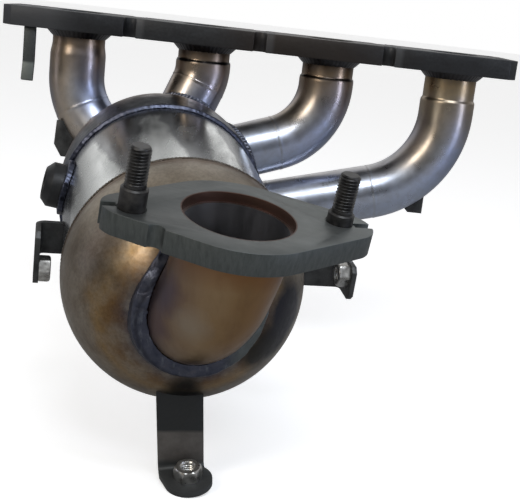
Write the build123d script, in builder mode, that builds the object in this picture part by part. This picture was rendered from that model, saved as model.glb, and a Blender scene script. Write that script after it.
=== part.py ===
from build123d import *
import os
from math import copysign, cos, radians, sin, sqrt, tan

# Exhaust manifold with a close-coupled catalyst for a four-cylinder engine.
#
# Four runners are welded to a flange that bolts to the cylinder head. They meet in a
# round-ended collector on the catalyst can. The can's other end is a dome, and a short elbow
# on it turns up to a two-stud outlet flange.
#
# Frame: the origin is the centre of the head flange's gasket face. +X runs along the row of
# ports, +Z points out of the gasket face towards the cylinder head, and the catalyst lies
# towards -Y, below the flange. All sizes are in millimetres.

os.makedirs("parts", exist_ok=True)

# Head flange
PORT_PITCH = 84.0
PORT_COUNT = 4
FLANGE_LEFT_MARGIN = 45.8
FLANGE_RIGHT_MARGIN = 37.2
FLANGE_WIDTH = 60.0
FLANGE_THICKNESS = 12.4
FLANGE_CORNER = 6.0
FLANGE_NOTCH_RADIUS = 4.0
FLANGE_NOTCH_SHIFT = -6.0
FLANGE_NOTCH_DEPTH = 6.0
FLANGE_FACE_LAND = 4.0
HEAD_BOLT_HOLE_RADIUS = 4.25
HEAD_BOLT_ROW = 15.0
HEAD_BOLT_FROM_PORT = 27.5

# Runners
RUNNER_DIAMETER = 36.8
RUNNER_WALL = 1.5
NECK_DIAMETER = RUNNER_DIAMETER - 2.2
NECK_TAPER = 2.0
BEAD = 3.4
FLANGE_BEAD = 5.0
RING_WELD_HEIGHT = 2.3

# Catalyst can, collector and dome, all about the can axis
SHOULDER = (-61.0, -46.0, -108.0)
CAN_YAW = 11.2
CAN_TILT = 8.5
CAN_DIAMETER = 124.0
CAN_WALL = 1.5
CAN_START = 3.0
CAN_LENGTH = 128.0
COLLECTOR_WALL = 1.5
COLLECTOR_SKIRT = 17.0
COLLECTOR_STRAIGHT = 2.5
DOME_DIAMETER = CAN_DIAMETER + 5.0
DOME_WALL = 1.8
DOME_LIP = 7.0
DOME_SHOULDER = 2.5
DOME_SEAM = CAN_LENGTH + 1.5
SUBSTRATE_DIAMETER = CAN_DIAMETER - 12.0
SUBSTRATE_LENGTH = 60.0
SUBSTRATE_START = 60.0
MAT_MARGIN = 4.0

# Outlet flange: its face centre from the shoulder, across, up and along the can axis
OUTLET_ACROSS = 9.6
OUTLET_UP = DOME_DIAMETER / 2 - 0.3
OUTLET_ALONG = DOME_SEAM + 71.9
OUTLET_TILT_ACROSS = 2.8
OUTLET_TILT_ALONG = 2.7
OUTLET_TURN = 6.0
OUTLET_THICKNESS = 10.7
OUTLET_BODY_RADIUS = 39.5
LEFT_LOBE_RADIUS = 13.0
LEFT_LOBE_SHIFT = 3.0
RIGHT_LOBE_RADIUS = 15.0
RIGHT_LOBE_SHIFT = -3.0
OUTLET_SCALLOP_RADIUS = 4.2
OUTLET_SCALLOP_X = -42.5
OUTLET_SCALLOP_Y = -20.0
DOME_CLEARANCE = 0.3
OUTLET_SLOT_WIDTH = 4.5
STUD_SPACING = 98.0
STUD_DIAMETER = 9.9
STUD_SHANK_DIAMETER = 10.4
STUD_COLLAR_DIAMETER = 12.4
STUD_SEAT_DIAMETER = 13.2
STUD_SEAT_DEPTH = 0.6
STUD_CHAMFER = 1.0
LEFT_STUD_COLLAR = 10.0
RIGHT_STUD_COLLAR = 5.0
STUD_THREAD_LENGTH = 18.8

# Outlet elbow
PIPE_DIAMETER = 52.0
PIPE_WALL = 1.5
PIPE_RECESS = 5.0
PIPE_STRAIGHT = 9.0
ELBOW_LEAN_RADIUS = 60.0
ELBOW_BEND_RADIUS = 34.0
ELBOW_CORNER = (1.0, 5.0, DOME_SEAM + 63.5)
ELBOW_AIM = (-14.0, -4.0, 128.0)
ELBOW_BEAD_WIDTH = 6.2
ELBOW_BEAD_HEIGHT = 4.0

# Sensor boss
BOSS_ALONG = 31.0
BOSS_ANGLE = 170.0
BOSS_DIAMETER = 27.0
BOSS_HEIGHT = 13.0
BOSS_CHAMFER = 4.0
BOSS_HOLE_RADIUS = 8.2

# Brackets and tabs, bent from one sheet
SHEET = 3.0
SHEET_BEND = 4.0
FOOT_WIDTH = 24.0
FOOT_ALONG = DOME_SEAM + 44.0
FOOT_ACROSS = -7.5
FOOT_TURN = 7.0
FOOT_DROP = DOME_DIAMETER / 2 + 26.5
FOOT_REACH = 6.0
FOOT_LOBE_REACH = 12.0
FOOT_LOBE_RADIUS = 12.5
FOOT_LOBE_SHIFT = 2.5
FOOT_NUT_BACK = 1.4
LEFT_ARM_ALONG = 84.0
LEFT_ARM_UP = 4.5
LEFT_ARM_REACH = 14.0
LEFT_WEB_HEIGHT = 19.0
LEFT_LEG_LENGTH = 31.5
LEFT_LEG_FRONT = 7.0
RIGHT_ARM_ALONG = 106.0
RIGHT_ARM_UP = -17.0
RIGHT_ARM_REACH = 38.5
RIGHT_WEB_HEIGHT = 18.0
RIGHT_LEG_LENGTH = -20.5
RIGHT_LEG_FRONT = 9.0
LEG_CORNER = 3.0

# Locating tab under the head flange, and two small plates
TAB_FROM_END = 18.2
TAB_WIDTH = 7.5
TAB_LENGTH = 34.0
TAB_INSET = 3.0
GUSSET_TOP = -72.0
GUSSET_BOTTOM = -96.0
GUSSET_OUT = 10.0
GUSSET_BEHIND = -12.0
LUG_FROM_PORT = 12.5
LUG_WIDTH = 13.0
LUG_BOTTOM = -112.0
LUG_BEHIND = 4.0
NUT_ACROSS_FLATS = 13.0
NUT_HEIGHT = 6.5
NUT_HOLE_RADIUS = 3.4

can_radius = CAN_DIAMETER / 2
collector_radius = can_radius + COLLECTOR_WALL
dome_radius = DOME_DIAMETER / 2
neck_radius = NECK_DIAMETER / 2
runner_radius = RUNNER_DIAMETER / 2
pipe_radius = PIPE_DIAMETER / 2
port_positions = [PORT_PITCH * (i - (PORT_COUNT - 1) / 2) for i in range(PORT_COUNT)]
flange_left = port_positions[0] - FLANGE_LEFT_MARGIN
flange_right = port_positions[-1] + FLANGE_RIGHT_MARGIN

# The can frame: x across to the right, y up, z along the axis towards the outlet.
yaw = radians(CAN_YAW)
tilt = radians(CAN_TILT)
can = Plane(
    origin=SHOULDER,
    x_dir=(cos(yaw), sin(yaw), 0),
    z_dir=(sin(yaw) * cos(tilt), -cos(yaw) * cos(tilt), -sin(tilt)),
)


def at_can(across, up, along):
    """A point given in the can frame."""
    return can.from_local_coords(Vector(across, up, along))


def section(plane):
    """The plane that holds a body of revolution's half section: x is radius, y is along."""
    return Plane(origin=plane.origin, x_dir=plane.x_dir, z_dir=plane.y_dir * -1)


def turned(plane, outline):
    """A solid of revolution about the plane's normal, from (radius, along) corners."""
    with BuildPart() as body:
        with BuildSketch(section(plane)):
            with BuildLine():
                Polyline(*outline, close=True)
            make_face()
        revolve(axis=Axis(plane.origin, plane.z_dir))
    return body.part


def save(part, name):
    """Label a finished piece and write it to its own file."""
    part.label = name
    export_step(part, f"parts/{name}.step")


# ---------------------------------------------------------------- shared shapes


def bar(plane, radius, start, end):
    """A round bar along the plane's normal, between two distances from its origin."""
    with BuildPart() as rod:
        with BuildSketch(plane.offset(start)):
            Circle(radius)
        extrude(amount=end - start)
    return rod.part


def fitted(body, *cuts):
    """A piece cut back from the forms it fits against, without any offcut."""
    with BuildPart() as piece:
        add(body)
        for cut in cuts:
            add(cut, mode=Mode.SUBTRACT)
    with BuildPart() as kept:
        add(piece.solids().sort_by(SortBy.VOLUME)[-1])
    return kept.part


def seam_bead(first, second, first_grown, second_grown, *cuts):
    """The weld that fills the corner where two forms meet: what both grown forms share."""
    with BuildPart() as bead:
        add(first_grown)
        add(second_grown, mode=Mode.INTERSECT)
        for cut in (first, second, *cuts):
            add(cut, mode=Mode.SUBTRACT)
    return bead.part


def nut(plane):
    """A hexagonal weld nut that stands on the plane."""
    with BuildPart() as body:
        with BuildSketch(plane):
            RegularPolygon(radius=NUT_ACROSS_FLATS / 2, side_count=6, major_radius=False)
            Circle(NUT_HOLE_RADIUS, mode=Mode.SUBTRACT)
        extrude(amount=NUT_HEIGHT)
    return body.part


def bent_strip(plane, points, width):
    """A strip of sheet, bent along the points in the plane and centred on it."""
    with BuildPart() as strip:
        with BuildSketch(plane):
            with BuildLine():
                FilletPolyline(*points, radius=SHEET_BEND)
            trace(line_width=SHEET)
        extrude(amount=width / 2, both=True)
    return strip.part


def plate(plane, outline, *cuts):
    """A flat plate of sheet on the plane, cut back from what it is welded to."""
    with BuildPart() as sheet:
        with BuildSketch(plane):
            with BuildLine():
                Polyline(*outline, close=True)
            make_face()
        extrude(amount=SHEET)
    return fitted(sheet.part, *cuts)


# ---------------------------------------------------------------- collector and can forms


def collector_form(offset):
    """The collector's round-ended form, grown by offset, from its skirt's edge to its crown."""
    radius = collector_radius + offset
    with BuildPart() as form:
        with BuildSketch(section(can)):
            with BuildLine():
                crown = CenterArc((0, -COLLECTOR_STRAIGHT), radius, -90, 90)
                Polyline(crown @ 1, (radius, COLLECTOR_SKIRT), (0, COLLECTOR_SKIRT), crown @ 0)
            make_face()
        revolve(axis=Axis(can.origin, can.z_dir))
    return form.part


def dome_form(radius, lip_radius):
    """The outlet dome: a hemisphere, with a shoulder down to the lip that fits the can."""
    shoulder = DOME_SEAM - DOME_SHOULDER
    lip = DOME_SEAM - DOME_LIP
    with BuildPart() as form:
        with BuildSketch(section(can)):
            with BuildLine():
                cap = CenterArc((0, DOME_SEAM), radius, 0, 90)
                Polyline(cap @ 1, (0, lip), (lip_radius, lip), (lip_radius, shoulder), cap @ 0)
            make_face()
        revolve(axis=Axis(can.origin, can.z_dir))
    return form.part


# ---------------------------------------------------------------- head flange

mid_ports = [(a + b) / 2 for a, b in zip(port_positions, port_positions[1:])]
end_bolt = port_positions[-1] + HEAD_BOLT_FROM_PORT
notch_x = [x + FLANGE_NOTCH_SHIFT for x in mid_ports]
notch_y = FLANGE_WIDTH / 2 - FLANGE_NOTCH_DEPTH + FLANGE_NOTCH_RADIUS
port_centres = [(x, 0) for x in port_positions]
bolt_x = (-end_bolt, *mid_ports, end_bolt)
bolt_centres = [(x, y) for x in bolt_x for y in (-HEAD_BOLT_ROW, HEAD_BOLT_ROW)]

with BuildPart() as head_flange:
    with BuildSketch(Plane.XY.offset(-FLANGE_THICKNESS)):
        with Locations(((flange_left + flange_right) / 2, 0)):
            Rectangle(flange_right - flange_left, FLANGE_WIDTH)
        chamfer(vertices(), FLANGE_CORNER)
        with Locations(*[(x, side * notch_y) for x in notch_x for side in (-1, 1)]):
            SlotCenterToCenter(
                FLANGE_NOTCH_DEPTH, 2 * FLANGE_NOTCH_RADIUS, rotation=90, mode=Mode.SUBTRACT
            )
        with Locations(*port_centres):
            Circle(neck_radius - RUNNER_WALL, mode=Mode.SUBTRACT)
        with Locations(*bolt_centres):
            Circle(HEAD_BOLT_HOLE_RADIUS, mode=Mode.SUBTRACT)
    extrude(amount=FLANGE_THICKNESS)
    with BuildSketch(Plane.XY.offset(-FLANGE_THICKNESS)):
        with Locations(*port_centres):
            Circle(neck_radius)
    extrude(amount=FLANGE_THICKNESS - FLANGE_FACE_LAND, mode=Mode.SUBTRACT)
save(head_flange.part, "head_flange")

# ---------------------------------------------------------------- runners

# One entry for each runner, from the left: the straight neck's length below the flange, the
# drop from the gasket face to the bend's corner, the bend radius, and the point inside the
# collector that the runner aims at, in the can frame.
RUNNERS = [
    {"neck": 8.0, "drop": 62.0, "bend": 44.0, "aim": (-6.0, -4.0, -32.0)},
    {"neck": 10.0, "drop": 34.0, "bend": 30.0, "aim": (-2.0, 0.0, -32.0)},
    {"neck": 12.0, "drop": 63.0, "bend": 44.0, "aim": (14.0, 12.0, -24.0)},
    {"neck": 18.0, "drop": 88.0, "bend": 60.0, "aim": (22.0, -28.0, -26.0)},
]


def runner_form(index, offset):
    """A runner as a solid bar, grown by offset: its neck, a short taper, and its bent body."""
    spec = RUNNERS[index]
    x = port_positions[index]
    neck_top = -FLANGE_FACE_LAND
    neck_end = -FLANGE_THICKNESS - spec["neck"]
    body_start = neck_end - NECK_TAPER
    with BuildPart() as form:
        with BuildSketch(Plane.XY.offset(neck_end)):
            with Locations((x, 0)):
                Circle(neck_radius + offset)
        extrude(amount=neck_top - neck_end)
        with BuildSketch(Plane.XY.offset(neck_end)):
            with Locations((x, 0)):
                Circle(neck_radius + offset)
        with BuildSketch(Plane.XY.offset(body_start)):
            with Locations((x, 0)):
                Circle(runner_radius + offset)
        loft()
        with BuildLine() as route:
            FilletPolyline(
                (x, 0, body_start), (x, 0, -spec["drop"]), at_can(*spec["aim"]), radius=spec["bend"]
            )
        with BuildSketch(Plane(origin=(x, 0, body_start), z_dir=(0, 0, -1))):
            Circle(runner_radius + offset)
        sweep(path=route.line)
    return form.part


runner_bars = [runner_form(i, 0) for i in range(PORT_COUNT)]
runner_bores = [runner_form(i, -RUNNER_WALL) for i in range(PORT_COUNT)]
collector_outside = collector_form(0)
collector_inside = collector_form(-COLLECTOR_WALL)

# Where two runners would run into each other, the later one gives way.
for i in range(PORT_COUNT):
    cuts = (runner_bores[i], collector_inside, *runner_bars[:i])
    save(fitted(runner_bars[i], *cuts), f"runner_{i + 1}")

# The skirt's bore is the can's outside, so the collector is its outside less its inside.
save(fitted(collector_outside, collector_inside, *reversed(runner_bars)), "collector_shell")

# Each weld gives way to the ones before it and to the other runners.
inlet_beads = []
collector_grown = collector_form(BEAD)
for i in range(PORT_COUNT):
    others = [runner_bars[j] for j in range(PORT_COUNT) if j != i]
    grown = runner_form(i, BEAD)
    bead = seam_bead(runner_bars[i], collector_outside, grown, collector_grown, *others, *inlet_beads)
    inlet_beads.append(bead)
    save(bead, f"collector_weld_{i + 1}")

# A fillet weld round each neck, under the head flange.
for i in range(PORT_COUNT):
    neck = Plane(origin=(port_positions[i], 0, -FLANGE_THICKNESS), z_dir=(0, 0, -1))
    outline = [(neck_radius, 0), (neck_radius + FLANGE_BEAD, 0), (neck_radius, FLANGE_BEAD)]
    save(turned(neck, outline), f"port_weld_{i + 1}")

# ---------------------------------------------------------------- catalyst can and contents

boss_angle = radians(BOSS_ANGLE)
boss = Plane(
    origin=at_can(0, 0, BOSS_ALONG),
    x_dir=can.z_dir,
    z_dir=can.x_dir * cos(boss_angle) + can.y_dir * sin(boss_angle),
)
can_end = CAN_START + CAN_LENGTH
can_outside = bar(can, can_radius, CAN_START, can_end)
can_inside = bar(can, can_radius - CAN_WALL, CAN_START, can_end)
boss_hole = bar(boss, BOSS_HOLE_RADIUS, 0, can_radius + 2 * BOSS_HEIGHT)
save(fitted(can_outside, can_inside, boss_hole), "catalyst_can")

substrate_radius = SUBSTRATE_DIAMETER / 2
substrate_end = SUBSTRATE_START + SUBSTRATE_LENGTH
mat_start = SUBSTRATE_START + MAT_MARGIN
mat_end = substrate_end - MAT_MARGIN
save(bar(can, substrate_radius, SUBSTRATE_START, substrate_end), "catalyst_substrate")
mat_outline = [
    (substrate_radius, mat_start),
    (can_radius - CAN_WALL, mat_start),
    (can_radius - CAN_WALL, mat_end),
    (substrate_radius, mat_end),
]
save(turned(can, mat_outline), "support_mat")

skirt_weld_outline = [
    (can_radius, COLLECTOR_SKIRT),
    (can_radius + RING_WELD_HEIGHT, COLLECTOR_SKIRT),
    (can_radius + RING_WELD_HEIGHT, COLLECTOR_SKIRT + BEAD / 2),
    (can_radius, COLLECTOR_SKIRT + BEAD),
]
boss_top = can_radius + BOSS_HEIGHT
boss_outline = [
    (0, 0),
    (BOSS_DIAMETER / 2, 0),
    (BOSS_DIAMETER / 2, boss_top - BOSS_CHAMFER),
    (BOSS_DIAMETER / 2 - BOSS_CHAMFER, boss_top),
    (0, boss_top),
]
boss_outside = turned(boss, boss_outline)
skirt_weld = fitted(turned(can, skirt_weld_outline), boss_outside)
save(skirt_weld, "collector_can_weld")

# Sensor boss, saddled on the can
save(fitted(boss_outside, can_outside, collector_outside, boss_hole), "sensor_boss")
boss_grown = bar(boss, BOSS_DIAMETER / 2 + BEAD, 0, boss_top)
can_grown = bar(can, can_radius + BEAD, CAN_START, can_end)
boss_bead = seam_bead(boss_outside, can_outside, boss_grown, can_grown, collector_outside, skirt_weld)
save(boss_bead, "sensor_boss_weld")

# ---------------------------------------------------------------- outlet

lean_across = can.x_dir * tan(radians(OUTLET_TILT_ACROSS))
lean_along = can.z_dir * tan(radians(OUTLET_TILT_ALONG))
outlet_normal = (can.y_dir + lean_across + lean_along).normalized()
turn = radians(OUTLET_TURN)
outlet_row = can.x_dir * cos(turn) - can.z_dir * sin(turn)
outlet_row = (outlet_row - outlet_normal * outlet_row.dot(outlet_normal)).normalized()
outlet = Plane(
    origin=at_can(OUTLET_ACROSS, OUTLET_UP, OUTLET_ALONG), x_dir=outlet_row, z_dir=outlet_normal
)
stud_x = STUD_SPACING / 2
stud_radius = STUD_DIAMETER / 2
shank_radius = STUD_SHANK_DIAMETER / 2


def elbow_form(offset):
    """The outlet elbow as a solid bar, grown by offset, from the flange into the dome."""
    start = outlet.from_local_coords(Vector(0, 0, -PIPE_RECESS))
    lean = outlet.from_local_coords(Vector(0, 0, -OUTLET_THICKNESS - PIPE_STRAIGHT))
    points = (start, lean, at_can(*ELBOW_CORNER), at_can(*ELBOW_AIM))
    with BuildPart() as bend:
        with BuildLine() as route:
            FilletPolyline(*points, radius=(ELBOW_LEAN_RADIUS, ELBOW_BEND_RADIUS))
        with BuildSketch(Plane(origin=start, z_dir=route.line % 0)):
            Circle(pipe_radius + offset)
        sweep(path=route.line)
    return bend.part


elbow_bar = elbow_form(0)
dome_outside = dome_form(dome_radius, can_radius + DOME_WALL)
dome_inside = dome_form(dome_radius - DOME_WALL, can_radius)
save(fitted(elbow_bar, elbow_form(-PIPE_WALL), dome_inside), "outlet_elbow")
save(fitted(dome_outside, dome_inside, elbow_bar), "outlet_dome")

dome_grown = dome_form(dome_radius + ELBOW_BEAD_HEIGHT, can_radius + DOME_WALL + ELBOW_BEAD_HEIGHT)
elbow_grown = elbow_form(ELBOW_BEAD_WIDTH)

dome_edge = DOME_SEAM - DOME_LIP
dome_weld_outline = [
    (can_radius, dome_edge),
    (can_radius + RING_WELD_HEIGHT, dome_edge),
    (can_radius + RING_WELD_HEIGHT, dome_edge - BEAD / 2),
    (can_radius, dome_edge - BEAD),
]
save(turned(can, dome_weld_outline), "dome_can_weld")

lobes = [(-stud_x, LEFT_LOBE_SHIFT, LEFT_LOBE_RADIUS), (stud_x, RIGHT_LOBE_SHIFT, RIGHT_LOBE_RADIUS)]
with BuildPart() as outlet_flange:
    with BuildSketch(outlet.offset(-OUTLET_THICKNESS)):
        Circle(OUTLET_BODY_RADIUS)
        for across, shift, radius in lobes:
            with Locations((across, shift)):
                Circle(radius)
        make_hull()
        with Locations((OUTLET_SCALLOP_X, OUTLET_SCALLOP_Y)):
            Circle(OUTLET_SCALLOP_RADIUS, mode=Mode.SUBTRACT)
        Circle(pipe_radius, mode=Mode.SUBTRACT)
        with Locations((-stud_x, 0), (stud_x, 0)):
            Circle(shank_radius, mode=Mode.SUBTRACT)
        for across, shift, radius in lobes:
            with Locations((across * (1 + radius / stud_x), shift)):
                Rectangle(2 * radius - STUD_COLLAR_DIAMETER, OUTLET_SLOT_WIDTH, mode=Mode.SUBTRACT)
    extrude(amount=OUTLET_THICKNESS)
    with BuildSketch(outlet):
        with Locations((-stud_x, 0), (stud_x, 0)):
            Circle(STUD_SEAT_DIAMETER / 2)
    extrude(amount=-STUD_SEAT_DEPTH, mode=Mode.SUBTRACT)
    add(dome_form(dome_radius + DOME_CLEARANCE, can_radius), mode=Mode.SUBTRACT)
save(outlet_flange.part, "outlet_flange")

flange_weld_outline = [
    (pipe_radius, -OUTLET_THICKNESS),
    (pipe_radius + BEAD, -OUTLET_THICKNESS),
    (pipe_radius, -OUTLET_THICKNESS - BEAD),
]
flange_weld = fitted(turned(outlet, flange_weld_outline), elbow_bar, dome_outside)
save(flange_weld, "outlet_flange_weld")
elbow_weld = seam_bead(
    elbow_bar, dome_outside, elbow_grown, dome_grown, outlet_flange.part, flange_weld
)
save(elbow_weld, "elbow_weld")


def stud(across, collar_height):
    """A stud pressed through the flange, its round collar seated just below the face."""
    centre = outlet.from_local_coords(Vector(across, 0, 0))
    axis = Plane(origin=centre, x_dir=outlet.x_dir, z_dir=outlet.z_dir)
    top = collar_height + STUD_THREAD_LENGTH
    outline = [
        (0, -OUTLET_THICKNESS),
        (shank_radius, -OUTLET_THICKNESS),
        (shank_radius, -STUD_SEAT_DEPTH),
        (STUD_COLLAR_DIAMETER / 2, -STUD_SEAT_DEPTH),
        (STUD_COLLAR_DIAMETER / 2, collar_height),
        (stud_radius, collar_height),
        (stud_radius, top - STUD_CHAMFER),
        (stud_radius - STUD_CHAMFER, top),
        (0, top),
    ]
    return turned(axis, outline)


save(stud(-stud_x, LEFT_STUD_COLLAR), "outlet_stud_left")
save(stud(stud_x, RIGHT_STUD_COLLAR), "outlet_stud_right")

# ---------------------------------------------------------------- brackets


def cross_section(along):
    """The plane square to the can axis at a distance along it."""
    return Plane(origin=at_can(0, 0, along), x_dir=can.x_dir, z_dir=can.z_dir)


# Foot under the dome: a strap down from the dome, and a rounded foot forward with its nut.
foot_turn = radians(FOOT_TURN)
foot_up = can.y_dir * cos(foot_turn) - can.x_dir * sin(foot_turn)
foot_right = can.x_dir * cos(foot_turn) + can.y_dir * sin(foot_turn)
foot_side = Plane(origin=at_can(FOOT_ACROSS, 0, 0), x_dir=can.z_dir, z_dir=foot_right * -1)
foot_points = [
    (FOOT_ALONG, -dome_radius / 2),
    (FOOT_ALONG, -FOOT_DROP),
    (FOOT_ALONG + FOOT_REACH, -FOOT_DROP),
]
lobe_middle = foot_side.from_local_coords(
    Vector(FOOT_ALONG + FOOT_LOBE_REACH, -FOOT_DROP + SHEET / 2, -FOOT_LOBE_SHIFT)
)
lobe_plane = Plane(origin=lobe_middle, x_dir=foot_right, z_dir=foot_up)
with BuildPart() as foot_strip:
    add(bent_strip(foot_side, foot_points, FOOT_WIDTH))
    with BuildSketch(lobe_plane.offset(-SHEET)):
        Circle(FOOT_LOBE_RADIUS)
        with Locations((-FOOT_LOBE_SHIFT, FOOT_LOBE_REACH - FOOT_REACH + SHEET_BEND / 8)):
            Rectangle(FOOT_WIDTH, SHEET_BEND / 4)
        make_hull()
    extrude(amount=SHEET)
foot_nut_plane = Plane(origin=lobe_middle - can.z_dir * FOOT_NUT_BACK, x_dir=foot_right, z_dir=foot_up)
foot_hole = bar(foot_nut_plane, NUT_HOLE_RADIUS, -2 * SHEET, NUT_HEIGHT)
save(fitted(foot_strip.part, dome_outside, elbow_weld, foot_hole), "bottom_bracket")
save(nut(foot_nut_plane), "bottom_bracket_nut")


def side_bracket(side, along, up, reach, web_height, leg_length, front):
    """A web out from the can's side, a leg folded forward from its end, and the nut inside the leg.

    The nut is centred at the distance along. The leg hangs below the web's top edge, or stands
    above its bottom edge where its length is negative.
    """
    arm_end = side * (can_radius + reach)
    web_along = along - NUT_ACROSS_FLATS / sqrt(3) - SHEET_BEND
    leg_front = along + front
    web_middle = up - web_height / 2 if leg_length > 0 else up + web_height / 2
    web_plane = Plane(origin=at_can(0, web_middle, 0), x_dir=can.x_dir, z_dir=can.y_dir * -1)
    start = side * (can_radius - reach / 2)
    points = [(start, web_along), (arm_end, web_along), (arm_end, leg_front - LEG_CORNER)]
    leg_back = web_along + SHEET_BEND
    leg_end = up - leg_length
    corner = copysign(LEG_CORNER, leg_length)
    leg_outline = [
        (leg_back, up),
        (leg_front - LEG_CORNER, up),
        (leg_front, up - corner),
        (leg_front, leg_end + corner),
        (leg_front - LEG_CORNER, leg_end),
        (leg_back, leg_end),
    ]
    leg_outside = at_can(arm_end + SHEET / 2, 0, 0)
    leg_plane = Plane(origin=leg_outside, x_dir=can.z_dir, z_dir=can.x_dir * -1)
    with BuildPart() as folded:
        add(bent_strip(web_plane, points, web_height))
        with BuildSketch(leg_plane):
            with BuildLine():
                Polyline(*leg_outline, close=True)
            make_face()
        extrude(amount=SHEET)
    nut_up = leg_end + copysign(NUT_ACROSS_FLATS / 2 + 1, leg_length)
    nut_face = at_can(arm_end - side * SHEET / 2, nut_up, along)
    nut_plane = Plane(origin=nut_face, x_dir=can.z_dir, z_dir=can.x_dir * -side)
    hole = bar(nut_plane, NUT_HOLE_RADIUS, -2 * SHEET, NUT_HEIGHT)
    return fitted(folded.part, can_outside, hole), nut(nut_plane)


left_bracket, left_nut = side_bracket(
    -1,
    LEFT_ARM_ALONG,
    LEFT_ARM_UP,
    LEFT_ARM_REACH,
    LEFT_WEB_HEIGHT,
    LEFT_LEG_LENGTH,
    LEFT_LEG_FRONT,
)
save(left_bracket, "left_bracket")
save(left_nut, "left_bracket_nut")
right_bracket, right_nut = side_bracket(
    1,
    RIGHT_ARM_ALONG,
    RIGHT_ARM_UP,
    RIGHT_ARM_REACH,
    RIGHT_WEB_HEIGHT,
    RIGHT_LEG_LENGTH,
    RIGHT_LEG_FRONT,
)
save(right_bracket, "right_bracket")
save(right_nut, "right_bracket_nut")

# ---------------------------------------------------------------- tab and small plates

# Locating tab: a flat strip down from the head flange's underside, near its left end.
tab_top = (flange_left + TAB_FROM_END, 0, -FLANGE_THICKNESS)
tab_side = Plane(origin=tab_top, x_dir=(0, 1, 0), z_dir=(1, 0, 0))
tab_y = -FLANGE_WIDTH / 2 + TAB_INSET + SHEET / 2
tab_points = [
    (tab_y, 0),
    (tab_y, -TAB_LENGTH * 2 / 3),
    (tab_y - SHEET, -TAB_LENGTH),
]
save(bent_strip(tab_side, tab_points, TAB_WIDTH), "flange_tab")


# Gusset between the first runner and the collector, behind the can
first_port = port_positions[0]
gusset_outline = [
    (first_port - GUSSET_OUT + 1, GUSSET_TOP),
    (first_port - GUSSET_OUT, (GUSSET_TOP + 2 * GUSSET_BOTTOM) / 3),
    (first_port - GUSSET_OUT / 2, GUSSET_BOTTOM),
    (first_port + 2 * GUSSET_OUT, GUSSET_BOTTOM),
    (first_port + 2 * GUSSET_OUT, GUSSET_TOP),
]
gusset_plane = Plane(origin=(0, GUSSET_BEHIND, 0), x_dir=(1, 0, 0), z_dir=(0, -1, 0))
save(plate(gusset_plane, gusset_outline, runner_bars[0], collector_outside, *inlet_beads), "gusset")

# Lug under the last runner's bend
lug_left = port_positions[-1] - LUG_FROM_PORT - LUG_WIDTH / 2
lug_outline = [
    (lug_left, -RUNNERS[-1]["drop"]),
    (lug_left, LUG_BOTTOM + SHEET),
    (lug_left + SHEET, LUG_BOTTOM),
    (lug_left + LUG_WIDTH, LUG_BOTTOM),
    (lug_left + LUG_WIDTH, -RUNNERS[-1]["drop"]),
]
lug_plane = Plane(origin=(0, LUG_BEHIND, 0), x_dir=(1, 0, 0), z_dir=(0, -1, 0))
save(plate(lug_plane, lug_outline, runner_bars[-1]), "runner_lug")
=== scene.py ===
"""Looks for the exhaust manifold: camera, light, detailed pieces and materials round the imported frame."""

from math import cos, exp, pi, radians, sin, sqrt, tan

import bmesh
import bpy
import numpy as np
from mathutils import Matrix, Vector, noise


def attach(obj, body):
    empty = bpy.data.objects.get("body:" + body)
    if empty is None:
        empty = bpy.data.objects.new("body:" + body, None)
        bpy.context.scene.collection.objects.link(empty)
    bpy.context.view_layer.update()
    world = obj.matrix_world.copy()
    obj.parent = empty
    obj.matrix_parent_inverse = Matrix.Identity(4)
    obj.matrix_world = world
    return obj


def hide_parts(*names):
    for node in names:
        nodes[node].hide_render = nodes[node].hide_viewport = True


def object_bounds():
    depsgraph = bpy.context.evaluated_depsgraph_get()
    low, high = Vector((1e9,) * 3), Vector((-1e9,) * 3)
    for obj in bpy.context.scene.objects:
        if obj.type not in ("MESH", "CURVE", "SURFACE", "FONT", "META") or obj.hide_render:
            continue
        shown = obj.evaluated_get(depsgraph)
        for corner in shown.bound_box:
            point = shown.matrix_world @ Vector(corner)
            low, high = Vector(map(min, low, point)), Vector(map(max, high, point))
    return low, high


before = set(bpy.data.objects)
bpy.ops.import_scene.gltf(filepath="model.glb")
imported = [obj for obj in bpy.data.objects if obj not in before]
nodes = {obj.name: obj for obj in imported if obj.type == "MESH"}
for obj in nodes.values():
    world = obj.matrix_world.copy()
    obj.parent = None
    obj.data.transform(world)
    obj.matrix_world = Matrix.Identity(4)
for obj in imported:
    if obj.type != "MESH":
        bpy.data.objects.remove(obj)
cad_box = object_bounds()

MM = 0.001
scene = bpy.context.scene

# ------------------------------------------------------------------ the part's own places
# The same sizes as part.py, in millimetres.
PORT_PITCH = 84.0
PORTS = [PORT_PITCH * (i - 1.5) for i in range(4)]
FLANGE_THICKNESS = 12.4
FLANGE_LAND = 4.0
RUNNER_RADIUS = 18.4
NECK_RADIUS = 17.3
TUBE_WALL = 1.5
# Each runner's neck, drop to its corner, bend and aim on the can, as in part.py, then two sizes of
# its looks: how long the step from its neck is, and how dark the painted shade line in that step.
RUNNERS = [
    {"neck": 8.0, "drop": 62.0, "bend": 44.0, "aim": (-6.0, -4.0, -32.0), "step": 9.0, "line": 0.0},
    {"neck": 10.0, "drop": 34.0, "bend": 30.0, "aim": (-2.0, 0.0, -32.0), "step": 1.6, "line": 1.0},
    {"neck": 12.0, "drop": 63.0, "bend": 44.0, "aim": (14.0, 12.0, -24.0), "step": 1.6, "line": 0.8},
    {"neck": 18.0, "drop": 88.0, "bend": 60.0, "aim": (22.0, -28.0, -26.0), "step": 1.6, "line": 0.35},
]
NOTCHES = [-90.0 + PORT_PITCH * i for i in range(3)]
CAN_RADIUS = 62.0
COLLECTOR_WALL = 1.5
COLLECTOR_STRAIGHT = 2.5
YAW, TILT = radians(11.2), radians(8.5)
SHOULDER = Vector((-61.0, -46.0, -108.0))
ACROSS = Vector((cos(YAW), sin(YAW), 0.0))
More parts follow.
